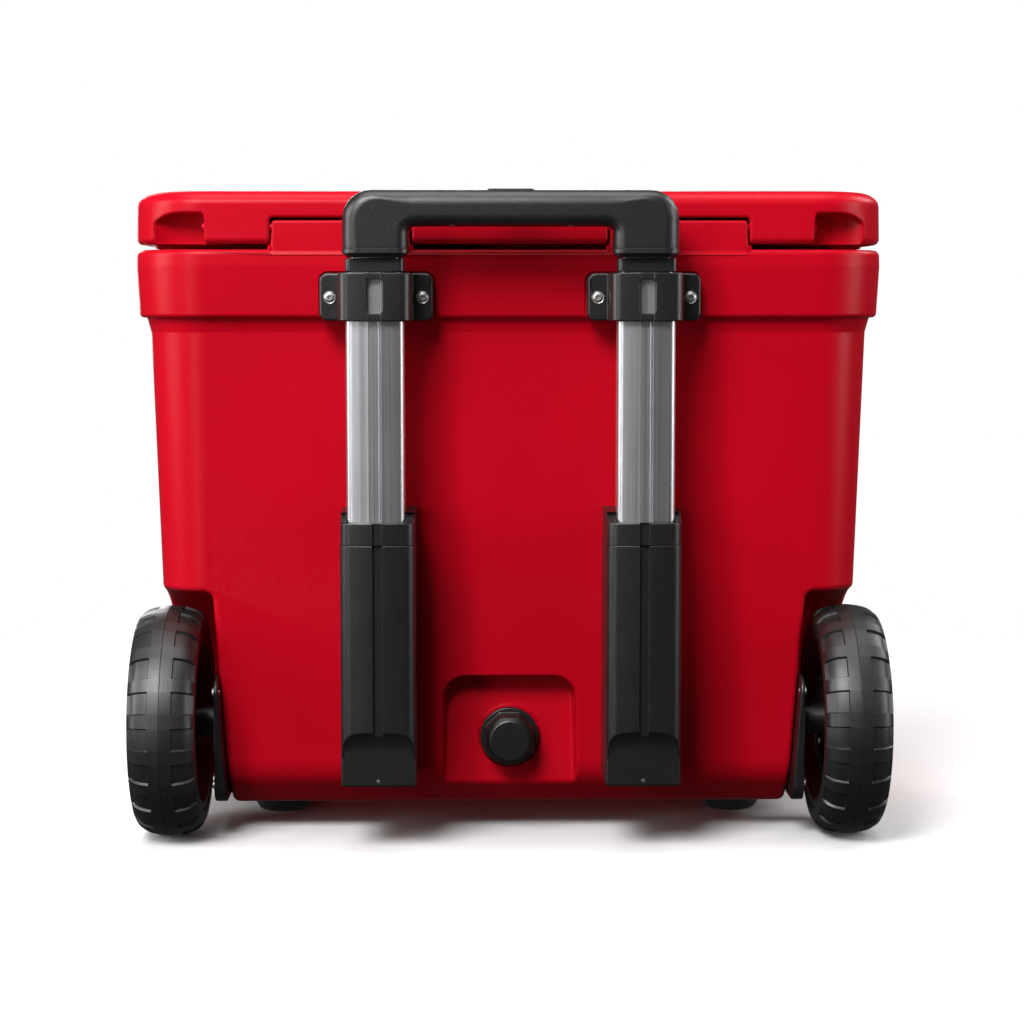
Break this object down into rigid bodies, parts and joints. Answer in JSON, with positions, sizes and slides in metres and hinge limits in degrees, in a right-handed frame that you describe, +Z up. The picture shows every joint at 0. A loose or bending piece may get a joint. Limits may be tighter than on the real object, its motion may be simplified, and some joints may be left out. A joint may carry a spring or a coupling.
{
  "type": "wheeled cooler",
  "caption": "Hard-sided insulated cooler with a hinged latching lid, rear wheels, a telescoping pull handle and a drain plug.",
  "frame": {"origin": "on the ground under the middle of the overall outline", "axes": "+X to the right seen from the handle side, -Y towards the person pulling the handle, +Z up"},
  "size_m": [0.597, 0.495, 0.516],
  "materials": {
    "red_shell": "satin",
    "foam": "matte",
    "tube_aluminium": "satin",
    "stainless": "satin",
    "wheel_rubber": "matte",
    "seal_rubber": "matte",
    "bush_plastic": "satin",
    "grip_plastic": "satin",
    "black_plastic": "satin"
  },
  "bodies": {
    "tub": {"tub_shell": "red_shell", "tub_foam": "foam", "tub_fill_plugs": "black_plastic", "drain_liner": "black_plastic", "latch_keepers": "black_plastic", "keeper_screws": "stainless", "left_clamp": "black_plastic", "right_clamp": "black_plastic", "clamp_screws": "stainless", "left_outer_tube": "tube_aluminium", "right_outer_tube": "tube_aluminium", "left_boot": "black_plastic", "right_boot": "black_plastic", "left_boot_collar": "black_plastic", "right_boot_collar": "black_plastic", "boot_screws": "stainless", "left_axle_bracket": "black_plastic", "right_axle_bracket": "black_plastic", "bracket_screws": "stainless", "left_axle": "stainless", "right_axle": "stainless", "left_axle_nut": "stainless", "right_axle_nut": "stainless", "front_feet": "seal_rubber", "rear_feet": "seal_rubber"},
    "lid": {"lid_shell": "red_shell", "lid_foam": "foam", "lid_fill_plugs": "black_plastic", "lid_gasket": "seal_rubber", "hinge_pins": "stainless", "latch_pins": "stainless"},
    "left_latch": {"left_latch": "black_plastic"},
    "right_latch": {"right_latch": "black_plastic"},
    "middle_stage": {"left_middle_tube": "tube_aluminium", "right_middle_tube": "tube_aluminium", "left_middle_collar": "black_plastic", "right_middle_collar": "black_plastic", "middle_end_plugs": "black_plastic"},
    "inner_stage": {"left_inner_tube": "tube_aluminium", "right_inner_tube": "tube_aluminium", "inner_lock_blocks": "black_plastic", "grip": "grip_plastic", "grip_underplate": "grip_plastic", "grip_screws": "stainless", "button_spring": "stainless"},
    "release": {"release_button": "grip_plastic", "release_yoke": "grip_plastic", "release_rods": "stainless"},
    "left_wheel": {"left_tyre": "wheel_rubber", "left_wheel_core": "black_plastic", "left_wheel_bush": "bush_plastic", "left_hub_cap": "black_plastic"},
    "right_wheel": {"right_tyre": "wheel_rubber", "right_wheel_core": "black_plastic", "right_wheel_bush": "bush_plastic", "right_hub_cap": "black_plastic"},
    "drain_plug": {"drain_plug": "black_plastic", "drain_seal": "seal_rubber"}
  },
  "joints": [
    {"name": "lid_hinge", "type": "hinge", "parent": "tub", "child": "lid", "pos_m": [0, -0.1835, 0.4866], "axis": [1, 0, 0], "range_deg": [0, 90]},
    {"name": "left_latch_pivot", "type": "hinge", "parent": "lid", "child": "left_latch", "pos_m": [-0.17, 0.229, 0.5], "axis": [1, 0, 0], "range_deg": [0, 100]},
    {"name": "right_latch_pivot", "type": "hinge", "parent": "lid", "child": "right_latch", "pos_m": [0.17, 0.229, 0.5], "axis": [1, 0, 0], "range_deg": [0, 100]},
    {"name": "middle_slide", "type": "slide", "parent": "tub", "child": "middle_stage", "axis": [0, 0, 1], "range_m": [0, 0.25]},
    {"name": "inner_slide", "type": "slide", "parent": "middle_stage", "child": "inner_stage", "axis": [0, 0, 1], "range_m": [0, 0.25]},
    {"name": "button_press", "type": "slide", "parent": "inner_stage", "child": "release", "axis": [0, 0, -1], "range_m": [0, 0.0045], "stiffness_N_per_m": 1500, "springref_m": -0.003, "deforming": ["button_spring"]},
    {"name": "left_wheel_spin", "type": "hinge", "parent": "tub", "child": "left_wheel", "pos_m": [-0.2715, -0.155, 0.0925], "axis": [1, 0, 0], "continuous": true},
    {"name": "right_wheel_spin", "type": "hinge", "parent": "tub", "child": "right_wheel", "pos_m": [0.2715, -0.155, 0.0925], "axis": [1, 0, 0], "continuous": true},
    {"name": "drain_turn", "type": "hinge", "parent": "tub", "child": "drain_plug", "pos_m": [0, -0.17, 0.0795], "axis": [0, -1, 0], "continuous": true}
  ]
}
